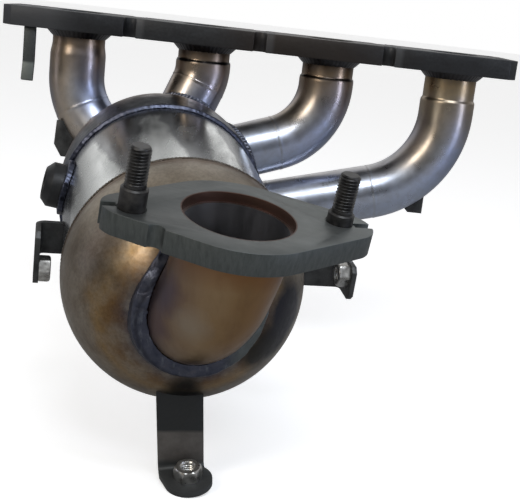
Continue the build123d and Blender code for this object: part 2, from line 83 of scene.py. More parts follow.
ALONG = Vector((sin(YAW) * cos(TILT), -cos(YAW) * cos(TILT), -sin(TILT)))
UP = ALONG.cross(ACROSS)


def at_can(across, up, along):
    return SHOULDER + ACROSS * across + UP * up + ALONG * along


OUTLET_AXIS = (UP + ACROSS * tan(radians(2.8)) + ALONG * tan(radians(2.7))).normalized()
OUTLET_TURN = radians(6.0)
OUTLET_ROW = ACROSS * cos(OUTLET_TURN) - ALONG * sin(OUTLET_TURN)
OUTLET_ROW = (OUTLET_ROW - OUTLET_AXIS * OUTLET_ROW.dot(OUTLET_AXIS)).normalized()
OUTLET_BACK = OUTLET_AXIS.cross(OUTLET_ROW)
OUTLET = at_can(9.6, 64.2, 201.4)
BOSS_ANGLE = radians(170.0)
BOSS_AXIS = ACROSS * cos(BOSS_ANGLE) + UP * sin(BOSS_ANGLE)
BOSS = at_can(0, 0, 31.0)
ELBOW_MIDDLE = at_can(1.0, 5.0, 193.0)
ELBOW_WAY = (ELBOW_MIDDLE - at_can(-14.0, -4.0, 128.0)).normalized()


def at_outlet(across, back, up):
    return OUTLET + OUTLET_ROW * across + OUTLET_BACK * back + OUTLET_AXIS * up


# ------------------------------------------------------------------ shader helpers


class Look:
    """One material, built up node by node. Its metal shader is self.shader."""

    def __init__(self, name, rough=0.4, metal=1.0, colour=(0.5, 0.5, 0.5)):
        self.material = bpy.data.materials.new(name)
        self.material.use_nodes = True
        self.tree = self.material.node_tree
        self.tree.nodes.clear()
        out = self.add("ShaderNodeOutputMaterial")
        self.shader = self.add("ShaderNodeBsdfPrincipled")
        self.shader.inputs["Roughness"].default_value = rough
        self.shader.inputs["Metallic"].default_value = metal
        self.shader.inputs["Base Color"].default_value = (*colour, 1)
        self.tree.links.new(self.shader.outputs[0], out.inputs["Surface"])
        self.place = self.add("ShaderNodeTexCoord").outputs["Object"]

    def add(self, kind, **values):
        node = self.tree.nodes.new(kind)
        for key, value in values.items():
            setattr(node, key, value)
        return node

    def feed(self, socket, value):
        if isinstance(value, bpy.types.NodeSocket):
            self.tree.links.new(value, socket)
        elif value is not None:
            socket.default_value = value

    def maths(self, operation, a, b=None, c=None):
        node = self.add("ShaderNodeMath", operation=operation)
        for socket, value in zip(node.inputs, (a, b, c)):
            self.feed(socket, value)
        return node.outputs[0]

    def noise(self, size_mm, detail=3.0, roughness=0.55, stretch=None, shift=0.0, distortion=0.0):
        """Noise from 0 to 1 with features about size_mm across, longer by stretch along each axis."""
        scale = [1000.0 / size_mm / s for s in (stretch or (1, 1, 1))]
        mapping = self.add("ShaderNodeMapping")
        self.feed(mapping.inputs["Vector"], self.place)
        mapping.inputs["Scale"].default_value = scale
        mapping.inputs["Location"].default_value = (shift, shift * 0.7, -shift)
        node = self.add("ShaderNodeTexNoise")
        self.feed(node.inputs["Vector"], mapping.outputs[0])
        node.inputs["Scale"].default_value = 1.0
        node.inputs["Detail"].default_value = detail
        node.inputs["Roughness"].default_value = roughness
        node.inputs["Distortion"].default_value = distortion
        return node.outputs[0]

    def ramp(self, factor, stops, smooth=False):
        """A colour from a factor. A stop is (place, colour) or (place, grey level)."""
        node = self.add("ShaderNodeValToRGB")
        node.color_ramp.interpolation = "EASE" if smooth else "LINEAR"
        self.feed(node.inputs[0], factor)
        marks = node.color_ramp.elements
        while len(marks) < len(stops):
            marks.new(0.5)
        for mark, (where, colour) in zip(marks, stops):
            mark.position = where
            mark.color = (*colour, 1) if isinstance(colour, tuple) else (colour,) * 3 + (1,)
        return node.outputs[0]

    def mix(self, factor, a, b, blend="MIX"):
        node = self.add("ShaderNodeMix", data_type="RGBA", blend_type=blend)
        self.feed(node.inputs[0], factor)
        for socket, value in ((node.inputs[6], a), (node.inputs[7], b)):
            self.feed(socket, (*value, 1) if isinstance(value, tuple) else value)
        return node.outputs[2]

    def attribute(self, name):
        return self.add("ShaderNodeAttribute", attribute_name=name).outputs["Fac"]

    def distance(self, point):
        """The distance from a point, in millimetres."""
        node = self.add("ShaderNodeVectorMath", operation="DISTANCE")
        self.feed(node.inputs[0], self.place)
        node.inputs[1].default_value = Vector(point) * MM
        return self.maths("MULTIPLY", node.outputs["Value"], 1000.0)

    def facing(self, direction):
        """How much the surface faces a direction, from -1 to 1."""
        node = self.add("ShaderNodeVectorMath", operation="DOT_PRODUCT")
        self.feed(node.inputs[0], self.add("ShaderNodeNewGeometry").outputs["Normal"])
        node.inputs[1].default_value = Vector(direction).normalized()
        return node.outputs["Value"]

    def reach(self, origin, direction):
        """How far a point is from an origin along a direction, in millimetres."""
        shift = self.add("ShaderNodeVectorMath", operation="SUBTRACT")
        self.feed(shift.inputs[0], self.place)
        shift.inputs[1].default_value = Vector(origin) * MM
        node = self.add("ShaderNodeVectorMath", operation="DOT_PRODUCT")
        self.feed(node.inputs[0], shift.outputs[0])
        node.inputs[1].default_value = Vector(direction) * 1000.0
        return node.outputs["Value"]

    def off_axis(self, origin, direction):
        """How far a point is from a line, in millimetres."""
        shift = self.add("ShaderNodeVectorMath", operation="SUBTRACT")
        self.feed(shift.inputs[0], self.place)
        shift.inputs[1].default_value = Vector(origin) * MM
        cross = self.add("ShaderNodeVectorMath", operation="CROSS_PRODUCT")
        self.feed(cross.inputs[0], shift.outputs[0])
        cross.inputs[1].default_value = Vector(direction)
        length = self.add("ShaderNodeVectorMath", operation="LENGTH")
        self.feed(length.inputs[0], cross.outputs[0])
        return self.maths("MULTIPLY", length.outputs["Value"], 1000.0)

    def outward(self, origin, direction):
        """Above zero where the surface faces away from a line, below zero where it faces the line."""
        normal = self.add("ShaderNodeNewGeometry").outputs["Normal"]
        shift = self.add("ShaderNodeVectorMath", operation="SUBTRACT")
        self.feed(shift.inputs[0], self.place)
        shift.inputs[1].default_value = Vector(origin) * MM
        node = self.add("ShaderNodeVectorMath", operation="DOT_PRODUCT")
        self.feed(node.inputs[0], normal)
        self.feed(node.inputs[1], shift.outputs[0])
        straight = self.maths("MULTIPLY", self.facing(direction), self.reach(origin, direction))
        off = self.maths("MULTIPLY", node.outputs["Value"], 1000.0)
        return self.maths("SUBTRACT", off, straight)

    def spread(self, value, low, high):
        """A value scaled so that low gives 0 and high gives 1, held between them."""
        node = self.add("ShaderNodeMapRange", clamp=True)
        self.feed(node.inputs["Value"], value)
        node.inputs["From Min"].default_value = low
        node.inputs["From Max"].default_value = high
        return node.outputs[0]

    def bump(self, height, depth_mm, strength=1.0, under=None):
        node = self.add("ShaderNodeBump")
        node.inputs["Strength"].default_value = strength
        node.inputs["Distance"].default_value = depth_mm * MM
        self.feed(node.inputs["Height"], height)
        if under is not None:
            self.feed(node.inputs["Normal"], under)
        return node.outputs[0]

    def finish(self, colour=None, rough=None, normal=None):
        for key, value in (("Base Color", colour), ("Roughness", rough), ("Normal", normal)):
            if value is not None:
                self.feed(self.shader.inputs[key], value)
        return self.material


def runner_look(index):
    """Bright tube: scaled at the neck, then heat tint and painted light, straw where it faces front and blue
    at its sides, with drawn lines.
    """
    look = Look(f"runner_{index + 1}_steel", rough=0.22)
    along = look.attribute("along")
    patch = look.noise(30, 3, shift=index * 3.1)
    # Painted light and reflection by which way the surface faces, partly heat tint: straw towards the front
    # as under a warm lamp, lavender to blue to the right and blue-grey to the left as under blue lamps.
    side = look.facing((0.94, -0.34, 0.0))
    tone = look.maths("MULTIPLY_ADD", patch, 0.3, look.maths("MULTIPLY_ADD", side, 0.5, 0.35))
    body = look.ramp(
        tone,
        [
            (0.05, (0.24, 0.25, 0.33)),
            (0.25, (0.42, 0.36, 0.30)),
            (0.45, (0.54, 0.47, 0.39)),
            (0.62, (0.50, 0.50, 0.52)),
            (0.80, (0.42, 0.47, 0.63)),
            (0.98, (0.25, 0.29, 0.40)),
        ],
    )
    low = look.spread(look.maths("MULTIPLY_ADD", patch, 20.0, along), 70, 95)
    body = look.mix(look.maths("MULTIPLY", low, 0.55), body, (0.46, 0.51, 0.60))
    neck = RUNNERS[index]["neck"]
    bright_neck = index == 3
    scale = look.ramp(
        look.maths("MULTIPLY_ADD", patch, 0.5, look.spread(along, -2, neck + 4)),
        [
            (0.3, (0.05, 0.04, 0.034)),
            (0.7, (0.46, 0.34, 0.20) if bright_neck else (0.13, 0.095, 0.066)),
            (1.2, (0.50, 0.40, 0.27) if bright_neck else (0.36, 0.26, 0.17)),
        ],
    )
    wander = look.maths("MULTIPLY_ADD", look.noise(11, 4, shift=index), 16.0, along)
    colour = look.mix(look.spread(wander, neck + 4, neck + 40), scale, body)
    # A dark line painted at the step from the neck: painted shade in the step's groove.
    line = look.spread(look.maths("ABSOLUTE", look.maths("SUBTRACT", along, neck + 0.9)), 1.3, 0.5)
    line = look.maths("MULTIPLY", line, RUNNERS[index]["line"])
    colour = look.mix(line, colour, (0.02, 0.018, 0.017))
    stain = look.ramp(look.noise(6, 5, 0.65), [(0.42, 0.0), (0.8, 0.4)])
    colour = look.mix(stain, colour, (0.24, 0.22, 0.21))
    lines = look.noise(1.1, 4, 0.7, stretch=(1, 1, 14), shift=index)
    rough = look.ramp(look.noise(14, 4), [(0.3, 0.25), (0.7, 0.40)])
    waves = look.bump(look.noise(26, 1.5, shift=index), 0.7, 0.45)
    return look.finish(colour, rough, look.bump(lines, 0.02, 0.3, waves))


def flange_look():
    """Black mill scale, with rust brown in the middle and lighter patches at the left and by the notches:
    painted reflections, drawn as bare metal.
    """
    look = Look("flange_scale", metal=0.55)
    x = look.reach((0, 0, 0), (1, 0, 0))
    patch = look.noise(30, 4, stretch=(2, 1, 1))
    grain = look.noise(1.6, 6, 0.7)
    shade = look.maths("MULTIPLY_ADD", grain, 0.35, look.maths("MULTIPLY", patch, 0.75))
    scale = [(0.3, (0.017, 0.016, 0.016)), (0.55, (0.030, 0.031, 0.033)), (0.8, (0.057, 0.061, 0.063))]
    colour = look.ramp(shade, scale)
    from_middle = look.maths("ABSOLUTE", look.maths("ADD", x, -20.0))
    rust = look.spread(look.maths("MULTIPLY_ADD", patch, 60.0, from_middle), 110, 50)
    colour = look.mix(look.maths("MULTIPLY", rust, 0.6), colour, (0.038, 0.027, 0.019))
    # Lighter patches at the left end and beside the notches: painted reflections, drawn as bare metal.
    worn = look.spread(look.maths("MULTIPLY_ADD", patch, 24.0, x), -112, -130)
    for notch in NOTCHES:
        beside = look.maths("ABSOLUTE", look.maths("SUBTRACT", x, notch + 5.0))
        worn = look.maths("MAXIMUM", worn, look.spread(beside, 5.0, 2.5))
    colour = look.mix(look.maths("MULTIPLY", worn, 0.40), colour, (0.114, 0.117, 0.122))
    rough = look.ramp(grain, [(0.3, 0.36), (0.75, 0.58)])
    return look.finish(colour, rough, look.bump(grain, 0.12, 0.5))


def worn_look(name, colour, rough=0.35):
    look = Look(name, metal=0.8)
    patch = look.noise(7, 5, 0.65)
    tone = look.ramp(patch, [(0.3, tuple(c * 0.35 for c in colour)), (0.7, colour)])
    dull = look.ramp(patch, [(0.3, rough + 0.15), (0.7, rough)])
    return look.finish(tone, dull, look.bump(look.noise(1.2), 0.05, 0.4))


# Painted reflections on the can, as bright bands: an angle round its axis, and the half width near its two
# ends.
CAN_PAINTED_REFLECTIONS = [
    (149.5, 8.0, 24.0),
    (107.5, 5.0, 14.0),
    (73.5, 3.0, 10.0),
    (23.5, 9.0, 16.0),
    (-66.5, 14.0, 20.0),
    (-136.5, 10.0, 18.0),
]


def can_look():
    """Polished sheet: painted reflections as bright bands between greyer ones, and a blue-grey tint by the
    collector's weld.
    """
    look = Look("can_polished", rough=0.2)
    along = look.reach(SHOULDER, ALONG)
    patch = look.noise(22, 3)
    turn = look.maths("ARCTAN2", look.reach(SHOULDER, UP), look.reach(SHOULDER, ACROSS))
    turn = look.maths("MULTIPLY", turn, 180.0 / pi)
    turn = look.maths("MULTIPLY_ADD", look.noise(18, 3, shift=4), 7.0, turn)
    end = look.spread(along, 36, 130)
    bright = None
    for middle, narrow, wide in CAN_PAINTED_REFLECTIONS:
        off = look.maths("ABSOLUTE", look.maths("SUBTRACT", turn, middle))
        half = look.maths("MULTIPLY_ADD", end, wide - narrow, narrow)
        reflection_band = look.spread(look.maths("SUBTRACT", half, off), -1.2, 1.2)
        bright = reflection_band if bright is None else look.maths("MAXIMUM", bright, reflection_band)
    bright = look.maths("MULTIPLY", bright, look.spread(along, 30, 38))
    smear = look.noise(9, 5, 0.6, stretch=(1, 4, 1))
    grey = look.ramp(smear, [(0.35, (0.36, 0.37, 0.38)), (0.75, (0.27, 0.28, 0.29))])
    white = look.ramp(smear, [(0.35, (0.88, 0.90, 0.89)), (0.75, (0.66, 0.68, 0.67))])
    # White where the painted reflections fall, grey between them.
    colour = look.mix(bright, grey, white)
    near_skirt = look.spread(look.maths("MULTIPLY_ADD", patch, -14.0, along), 22, 8)
    colour = look.mix(near_skirt, colour, (0.24, 0.25, 0.29))
    rough = look.ramp(smear, [(0.3, 0.18), (0.75, 0.32)])
    waves = look.bump(look.noise(60, 1.0), 1.0, 0.3)
    return look.finish(colour, rough, look.bump(look.noise(1.4, 3, stretch=(6, 1, 6)), 0.012, 0.25, waves))


def collector_look():
    """Heat-tinted cap, with a dark blue band by the can."""
    look = Look("collector_tinted", rough=0.3)
    along = look.reach(SHOULDER, ALONG)
    patch = look.noise(16, 5, 0.6)
    near = look.spread(look.maths("MULTIPLY_ADD", patch, 14.0, along), -14, 16)
    colour = look.ramp(
        near,
        [
            (0.0, (0.30, 0.25, 0.20)),
            (0.45, (0.18, 0.15, 0.15)),
            (0.75, (0.075, 0.080, 0.095)),
            (1.0, (0.060, 0.070, 0.090)),
        ],
    )
    rough = look.ramp(look.noise(5, 5), [(0.3, 0.26), (0.75, 0.46)])
    return look.finish(colour, rough, look.bump(look.noise(9, 3), 0.5, 0.4))


# Dark patches on the dome, low on the elbow's right, and a painted shadow of the foot's strap under it:
# place, size and colour.
DOME_DARK_PATCHES_AND_SHADOW = [
    (at_can(36, -14, 181), 17, (0.026, 0.022, 0.017)),
    (at_can(43, -8, 175), 17, (0.026, 0.024, 0.024)),
    (at_can(48, 4, 172), 19, (0.028, 0.028, 0.036)),
    # The next two are painted shadow of the foot's strap.
    (at_can(0, -46, 175), 15, (0.030, 0.028, 0.025)),
    (at_can(-2, -34, 184), 11, (0.045, 0.038, 0.032)),
]


def dome_look():
    """Matt sheet with brown, straw and olive heat tint, gold by the elbow's weld, dark patches and a painted
    strap shadow.
    """
    look = Look("dome_tinted", rough=0.4)
    from_elbow = look.off_axis(ELBOW_MIDDLE, ELBOW_WAY)
    patch = look.noise(26, 4, 0.6, distortion=0.4)
    fine = look.noise(5, 6, 0.65)
    field = look.maths("MULTIPLY_ADD", patch, 10.0, from_elbow)
    field = look.maths("MULTIPLY_ADD", fine, 4.0, field)
    colour = look.ramp(
        look.spread(field, 38, 86),
        [
            (0.0, (0.070, 0.062, 0.080)),
            (0.13, (0.189, 0.112, 0.053)),
            (0.24, (0.307, 0.202, 0.095)),
            (0.36, (0.202, 0.158, 0.115)),
            (0.6, (0.285, 0.242, 0.189)),
            (1.0, (0.226, 0.192, 0.163)),
        ],
    )
    blotch = look.noise(13, 5, 0.6, shift=7)
    colour = look.mix(look.ramp(blotch, [(0.4, 0.0), (0.7, 0.55)]), colour, (0.355, 0.321, 0.263))
    speck = look.ramp(look.noise(1.7, 6, 0.7), [(0.3, 0.72), (0.6, 1.0)])
    colour = look.mix(1.0, colour, speck, "MULTIPLY")
    rim = look.spread(look.maths("MULTIPLY_ADD", blotch, 6.0, look.reach(SHOULDER, ALONG)), 135, 129)
    colour = look.mix(look.maths("MULTIPLY", rim, 0.7), colour, (0.154, 0.106, 0.074))
    # Each dark patch, and the painted strap shadow, darkens the colour.
    for place, size, tone in DOME_DARK_PATCHES_AND_SHADOW:
        patch_and_shadow = look.maths("MULTIPLY_ADD", look.noise(12, 4), 8.0, look.distance(place))
        colour = look.mix(look.spread(patch_and_shadow, size + 4, size - 4), colour, tone)
    rough = look.ramp(fine, [(0.3, 0.30), (0.75, 0.48)])
    dents = look.bump(patch, 0.8, 0.3)
    return look.finish(colour, rough, look.bump(look.noise(1.5, 5), 0.03, 0.5, dents))


# Marks on the elbow: dark patches low on its right, violet by the weld's left end, red-brown at its foot and
# pale straw above that. Each is its place, size, colour and strength.
ELBOW_MARKS = [
    (at_can(27.0, 2.0, 203.0), 12.0, (0.045, 0.040, 0.036), 0.75),
    (at_can(20.0, -10.0, 205.0), 9.0, (0.055, 0.045, 0.040), 0.65),
    (at_can(-22.0, 26.0, 207.0), 12.0, (0.10, 0.085, 0.115), 0.6),
    (at_can(-6.0, -20.0, 203.0), 12.0, (0.15, 0.095, 0.085), 0.6),
    (at_can(-12.0, 14.0, 222.0), 13.0, (0.33, 0.29, 0.235), 0.55),
]


def elbow_look():
    """Straw and gold tube, red-brown under the flange, and grey inside."""
    look = Look("elbow_tinted", rough=0.34)
    height = look.reach(OUTLET, OUTLET_AXIS)
    side = look.reach(OUTLET, OUTLET_ROW)
    patch = look.noise(20, 3, 0.55, distortion=0.3)
    streak = look.noise(7, 5, 0.6, stretch=(1, 1, 5))
    across = look.maths("MULTIPLY_ADD", patch, 16.0, side)
    colour = look.ramp(
        look.spread(across, -22, 36),
        [
            (0.0, (0.131, 0.086, 0.081)),
            (0.14, (0.242, 0.168, 0.109)),
            (0.32, (0.302, 0.205, 0.112)),
            (0.55, (0.242, 0.144, 0.065)),
            (0.8, (0.251, 0.139, 0.062)),
            (1.0, (0.171, 0.098, 0.062)),
        ],
    )
    top = look.spread(look.maths("MULTIPLY_ADD", patch, 12.0, height), -22, -6)
    colour = look.mix(look.maths("MULTIPLY", top, 0.8), colour, (0.171, 0.069, 0.028))
    low = look.spread(look.maths("MULTIPLY_ADD", patch, 14.0, look.reach(SHOULDER, UP)), -2, -22)
    colour = look.mix(look.maths("MULTIPLY", low, 0.8), colour, (0.106, 0.058, 0.044))
    colour = look.mix(look.ramp(streak, [(0.45, 0.0), (0.8, 0.35)]), colour, (0.150, 0.090, 0.053))
    for place, size, tone, amount in ELBOW_MARKS:
        mark = look.maths("MULTIPLY_ADD", look.noise(9, 4), 7.0, look.distance(place))
        colour = look.mix(look.maths("MULTIPLY", look.spread(mark, size + 5, size - 4), amount), colour, tone)
    inside = look.spread(look.outward(OUTLET, OUTLET_AXIS), 1.0, -1.0)
    colour = look.mix(inside, colour, (0.5, 0.5, 0.52))
    rough = look.ramp(streak, [(0.3, 0.28), (0.75, 0.44)])
    dents = look.bump(patch, 0.6, 0.3)
    return look.finish(colour, rough, look.bump(look.noise(1.3, 5), 0.02, 0.4, dents))


def weld_look(name, dark, light, banding=0.45):
    look = Look(name, rough=0.32)
    patch = look.noise(9, 4)
    crest = look.attribute("crest")
    tone = look.maths("MULTIPLY_ADD", crest, banding, look.maths("MULTIPLY", patch, 1.15 - banding))
    middle = tuple((a + b) / 2 for a, b in zip(dark, light))
    colour = look.ramp(tone, [(0.2, dark), (0.55, middle), (0.9, light)])
    rough = look.ramp(patch, [(0.3, 0.26), (0.75, 0.48)])
    return look.finish(colour, rough, look.bump(look.noise(0.9, 5), 0.05, 0.5))


def elbow_weld_look():
    """A thick bead: deep blue, with pale streaks along it and a smeared grey end on the right."""
    look = Look("weld_elbow_blued", rough=0.36)
    patch = look.noise(8, 5, 0.62, distortion=0.5)
    ring = look.off_axis(ELBOW_MIDDLE, ELBOW_WAY)
    streak = look.noise(2.6, 4, 0.6, stretch=(1, 3, 3))
    from_crest = look.maths("MULTIPLY_ADD", patch, 2.0, look.maths("ADD", ring, -31.0))
    groove = look.spread(look.maths("ABSOLUTE", from_crest), 1.5, 0.3)
    blues = [(0.3, (0.040, 0.044, 0.066)), (0.55, (0.080, 0.086, 0.115)), (0.75, (0.12, 0.12, 0.145))]
    colour = look.ramp(patch, blues)
    colour = look.mix(look.ramp(streak, [(0.55, 0.0), (0.75, 0.6)]), colour, (0.22, 0.24, 0.27))
    colour = look.mix(look.maths("MULTIPLY", groove, 0.6), colour, (0.03, 0.03, 0.04))
    right = look.spread(look.maths("MULTIPLY_ADD", patch, 10.0, look.reach(SHOULDER, ACROSS)), 18, 26)
    colour = look.mix(look.maths("MULTIPLY", right, 0.85), colour, (0.125, 0.14, 0.135))
    rough = look.ramp(patch, [(0.3, 0.28), (0.75, 0.5)])
    return look.finish(colour, rough, look.bump(streak, 0.25, 0.6, look.bump(patch, 0.9, 0.5)))


def outlet_flange_look():
    """Satin plate: a ground face with painted light, darker at its left and lighter at its right, and darker
    sheared sides with fine upright tears.
    """
    look = Look("outlet_flange_satin", metal=0.8)
    patch = look.noise(18, 5, 0.6)
    brushed = look.noise(1.0, 5, 0.7, stretch=(9, 2, 2))
    shade = look.maths("MULTIPLY_ADD", brushed, 0.3, look.maths("MULTIPLY", patch, 0.8))
    greys = [(0.3, (0.150, 0.162, 0.160)), (0.55, (0.190, 0.203, 0.199)), (0.8, (0.245, 0.262, 0.256))]
    face = look.ramp(shade, greys)
    # Painted light on the face: darker to the left and lighter to the right, as if lit from the right.
    from_left = look.spread(look.reach(OUTLET, OUTLET_ROW), -62, 62)
    face = look.mix(1.0, face, look.ramp(from_left, [(0.0, 0.42), (0.45, 0.62), (1.0, 1.0)]), "MULTIPLY")
    tears = look.noise(1.6, 4, 0.7, stretch=(1, 1, 6))
    sides = look.ramp(tears, [(0.3, (0.075, 0.083, 0.081)), (0.7, (0.115, 0.126, 0.122))])
    colour = look.mix(look.spread(look.facing(OUTLET_AXIS), 0.5, 0.9), sides, face)
    bore = look.spread(look.off_axis(OUTLET, OUTLET_AXIS), 26.9, 26.4)
    colour = look.mix(bore, colour, (0.085, 0.046, 0.034))
    rough = look.ramp(brushed, [(0.3, 0.40), (0.75, 0.56)])
    pits = look.bump(look.noise(3, 5), 0.10, 0.4)
    return look.finish(colour, rough, look.bump(brushed, 0.03, 0.4, pits))


def stud_look():
    look = Look("stud_black_oxide", metal=0.7)
    patch = look.noise(4, 5)
    colour = look.ramp(patch, [(0.3, (0.016, 0.016, 0.017)), (0.75, (0.075, 0.072, 0.068))])
    rough = look.ramp(patch, [(0.3, 0.34), (0.7, 0.52)])
    return look.finish(colour, rough, look.bump(look.noise(0.8), 0.03, 0.4))


def bracket_look(name, dark=(0.020, 0.021, 0.021), light=(0.100, 0.101, 0.101)):
    look = Look(name, metal=0.6)
    patch = look.noise(11, 5, 0.62)
    grain = look.noise(1.3, 5, 0.7)
    shade = look.maths("MULTIPLY_ADD", grain, 0.3, look.maths("MULTIPLY", patch, 0.8))
    colour = look.ramp(shade, [(0.3, dark), (0.8, light)])
    return look.finish(colour, look.ramp(grain, [(0.3, 0.36), (0.75, 0.56)]), look.bump(grain, 0.08, 0.45))


def tab_look():
    """The locating tab: dark scale, with painted light on its lower third."""
    look = Look("tab_oxide_painted_light", metal=0.6)
    grain = look.noise(1.5, 5, 0.7)
    scale = look.ramp(grain, [(0.3, (0.045, 0.050, 0.049)), (0.75, (0.075, 0.082, 0.080))])
    low = look.maths("MULTIPLY_ADD", grain, 2.0, look.reach((0, 0, 0), (0, 0, 1)))
    # Painted light: the lower third lighter, as a face turned to the light.
    colour = look.mix(look.spread(low, -33.0, -35.0), scale, (0.135, 0.150, 0.140))
    return look.finish(colour, look.ramp(grain, [(0.3, 0.40), (0.75, 0.58)]), look.bump(grain, 0.08, 0.45))


def strap_look():
    """The foot's strap: painted shading across its crease, black above it and lighter grey below it."""
    look = Look("strap_oxide_shaded", metal=0.6)
    patch = look.noise(11, 5, 0.62)
    grain = look.noise(1.3, 5, 0.7)
    low = look.ramp(patch, [(0.3, (0.105, 0.096, 0.087)), (0.75, (0.175, 0.163, 0.150))])
    crease = look.maths("MULTIPLY_ADD", patch, 1.5, look.reach(SHOULDER, UP))
    # Painted shade above the crease and lighter grey below it, as the fold turns each part to the light
    # differently; darker again at the foot.
    colour = look.mix(look.spread(crease, -67.5, -65.5), low, (0.034, 0.036, 0.036))
    foot = look.spread(crease, -83.0, -86.0)
    colour = look.mix(foot, colour, (0.065, 0.068, 0.068))
    return look.finish(colour, look.ramp(grain, [(0.3, 0.40), (0.75, 0.58)]), look.bump(grain, 0.08, 0.45))


def nut_look():
    look = Look("nut_plated", metal=1.0)
    patch = look.noise(3, 5)
    colour = look.ramp(patch, [(0.3, (0.34, 0.33, 0.31)), (0.7, (0.68, 0.67, 0.64))])
    rough = look.ramp(patch, [(0.3, 0.24), (0.7, 0.4)])
    return look.finish(colour, rough, look.bump(look.noise(0.7), 0.03, 0.4))


def ceramic_look():
    look = Look("substrate_ceramic", metal=0.0, rough=0.85)
    patch = look.noise(9, 5)
    colour = look.ramp(patch, [(0.3, (0.30, 0.25, 0.20)), (0.7, (0.48, 0.42, 0.35))])
    return look.finish(colour, None, look.bump(look.noise(1.2, 4), 0.2, 0.6))


def mat_look():
    look = Look("mat_fibre", metal=0.0, rough=0.95)
    fibres = look.noise(1.2, 6, 0.75, stretch=(4, 1, 1))
    colour = look.ramp(fibres, [(0.3, (0.55, 0.52, 0.46)), (0.7, (0.80, 0.78, 0.72))])
    return look.finish(colour, None, look.bump(fibres, 0.4, 0.7))


LOOKS = {
    "flange": flange_look(),
    "flange_edge": worn_look("flange_worn_edge", (0.16, 0.17, 0.18)),
    "can": can_look(),
    "collector": collector_look(),
    "dome": dome_look(),
    "elbow": elbow_look(),
    "outlet_flange": outlet_flange_look(),
    "outlet_edge": worn_look("outlet_worn_edge", (0.38, 0.39, 0.38), 0.3),
    "stud": stud_look(),
    "bracket": bracket_look("bracket_oxide"),
    "strap": strap_look(),
    "bracket_edge": worn_look("bracket_worn_edge", (0.13, 0.13, 0.13)),
    "boss": bracket_look("boss_oxide", (0.014, 0.015, 0.016), (0.040, 0.041, 0.043)),
    "tab": tab_look(),
    "nut": nut_look(),
    "ceramic": ceramic_look(),
    "mat": mat_look(),
    "weld": weld_look("weld_blued", (0.045, 0.048, 0.062), (0.16, 0.17, 0.21)),
    "weld_deep": weld_look("weld_deep_blue", (0.028, 0.031, 0.048), (0.11, 0.12, 0.16), 0.15),
    "weld_elbow": elbow_weld_look(),
    "weld_dark": weld_look("weld_dark", (0.018, 0.018, 0.020), (0.070, 0.068, 0.070), 0.2),
    "weld_brown": weld_look("weld_browned", (0.05, 0.042, 0.036), (0.15, 0.128, 0.105), 0.15),
}

# ------------------------------------------------------------------ mesh helpers


def shown(name, mesh, looks, slot, *stands_for):
    """Put a finished mesh in the scene as a piece that stands for its CAD nodes."""
    for look in looks:
        mesh.materials.append(look)
    piece = bpy.data.objects.new(name, mesh)
    scene.collection.objects.link(piece)
    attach(piece, "root")
    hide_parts(*stands_for)
    return piece


def evaluated(mesh, *modifiers):
    """The mesh after modifiers, each given as (kind, settings)."""
    holder = bpy.data.objects.new("holder", mesh)
    scene.collection.objects.link(holder)
    for kind, settings in modifiers:
        modifier = holder.modifiers.new(kind, kind)
        for key, value in settings.items():
            setattr(modifier, key, value)
    graph = bpy.context.evaluated_depsgraph_get()
    result = bpy.data.meshes.new_from_object(holder.evaluated_get(graph))
    bpy.data.objects.remove(holder)
    return result


def merged(node):
    """A copy of a CAD node's mesh with its shared corners joined and its flat faces whole."""
    mesh = nodes[node].data.copy()
    mesh.materials.clear()
    form = bmesh.new()
    form.from_mesh(mesh)
    bmesh.ops.remove_doubles(form, verts=form.verts, dist=2e-6)
    bmesh.ops.dissolve_limit(form, angle_limit=radians(0.4), verts=form.verts, edges=form.edges)
    form.to_mesh(mesh)
    form.free()
    if "custom_normal" in mesh.attributes:
        mesh.attributes.remove(mesh.attributes["custom_normal"])
    return mesh


def smoothed(mesh, angle=32.0):
    mesh.shade_smooth()
    mesh.set_sharp_from_angle(angle=radians(angle))
    return mesh


def edged(node, width, looks, slot, angle=38.0):
    """A CAD node with its sharp edges rounded and worn bright, in the second look."""
    bevel = {
        "width": width * MM,
        "segments": 2,
        "limit_method": "ANGLE",
        "angle_limit": radians(angle),
        "material": 1 if len(looks) > 1 else -1,
    }
    mesh = merged(node)
    for look in looks:
        mesh.materials.append(look)
    mesh = evaluated(mesh, ("BEVEL", bevel))
    mesh.materials.clear()
    return shown(f"{node}_shape", smoothed(mesh, 50), looks, slot, node)


def grid_mesh(name, rings, closed_ends=False, joined=False):
    """A mesh from rings of points, each ring closed. joined links the last ring to the first."""
    rings = np.asarray(rings)
    count, around = rings.shape[:2]
    faces = []
    for i in range(count if joined else count - 1):
        k = (i + 1) % count
        for j in range(around):
            n = (j + 1) % around
            faces.append((i * around + j, i * around + n, k * around + n, k * around + j))
    if closed_ends:
        faces.append(tuple(range(around))[::-1])
        faces.append(tuple((count - 1) * around + j for j in range(around)))
    mesh = bpy.data.meshes.new(name)
    mesh.from_pydata([tuple(p) for p in rings.reshape(-1, 3)], [], faces)
    mesh.update()
    form = bmesh.new()
    form.from_mesh(mesh)
    bmesh.ops.recalc_face_normals(form, faces=form.faces)
    form.to_mesh(mesh)
    form.free()
    return mesh


def basis(axis, across):
    axis = Vector(axis).normalized()
    first = (Vector(across) - axis * Vector(across).dot(axis)).normalized()
    return first, axis.cross(first), axis


def lathe(name, origin, axis, across, stations, around=64, shape=None, joined=True):
    """A turned piece from (radius, along) stations in millimetres.

    shape(radius, along, angle) may change a radius, for a hexagon or a thread.
    """
    first, second, axis = basis(axis, across)
    rings = []
    for radius, along in stations:
        centre = Vector(origin) + axis * along
        ring = []
        for j in range(around):
            angle = 2 * pi * j / around
            r = shape(radius, along, angle) if shape else radius
            ring.append((centre + (first * cos(angle) + second * sin(angle)) * r) * MM)
        rings.append(ring)
    return grid_mesh(name, rings, closed_ends=not joined, joined=joined)


# ------------------------------------------------------------------ runners

ROUTE_STEP = 0.8
RUNNER_SIDES = 72
RUNNER_END_DEPTH = 24.0


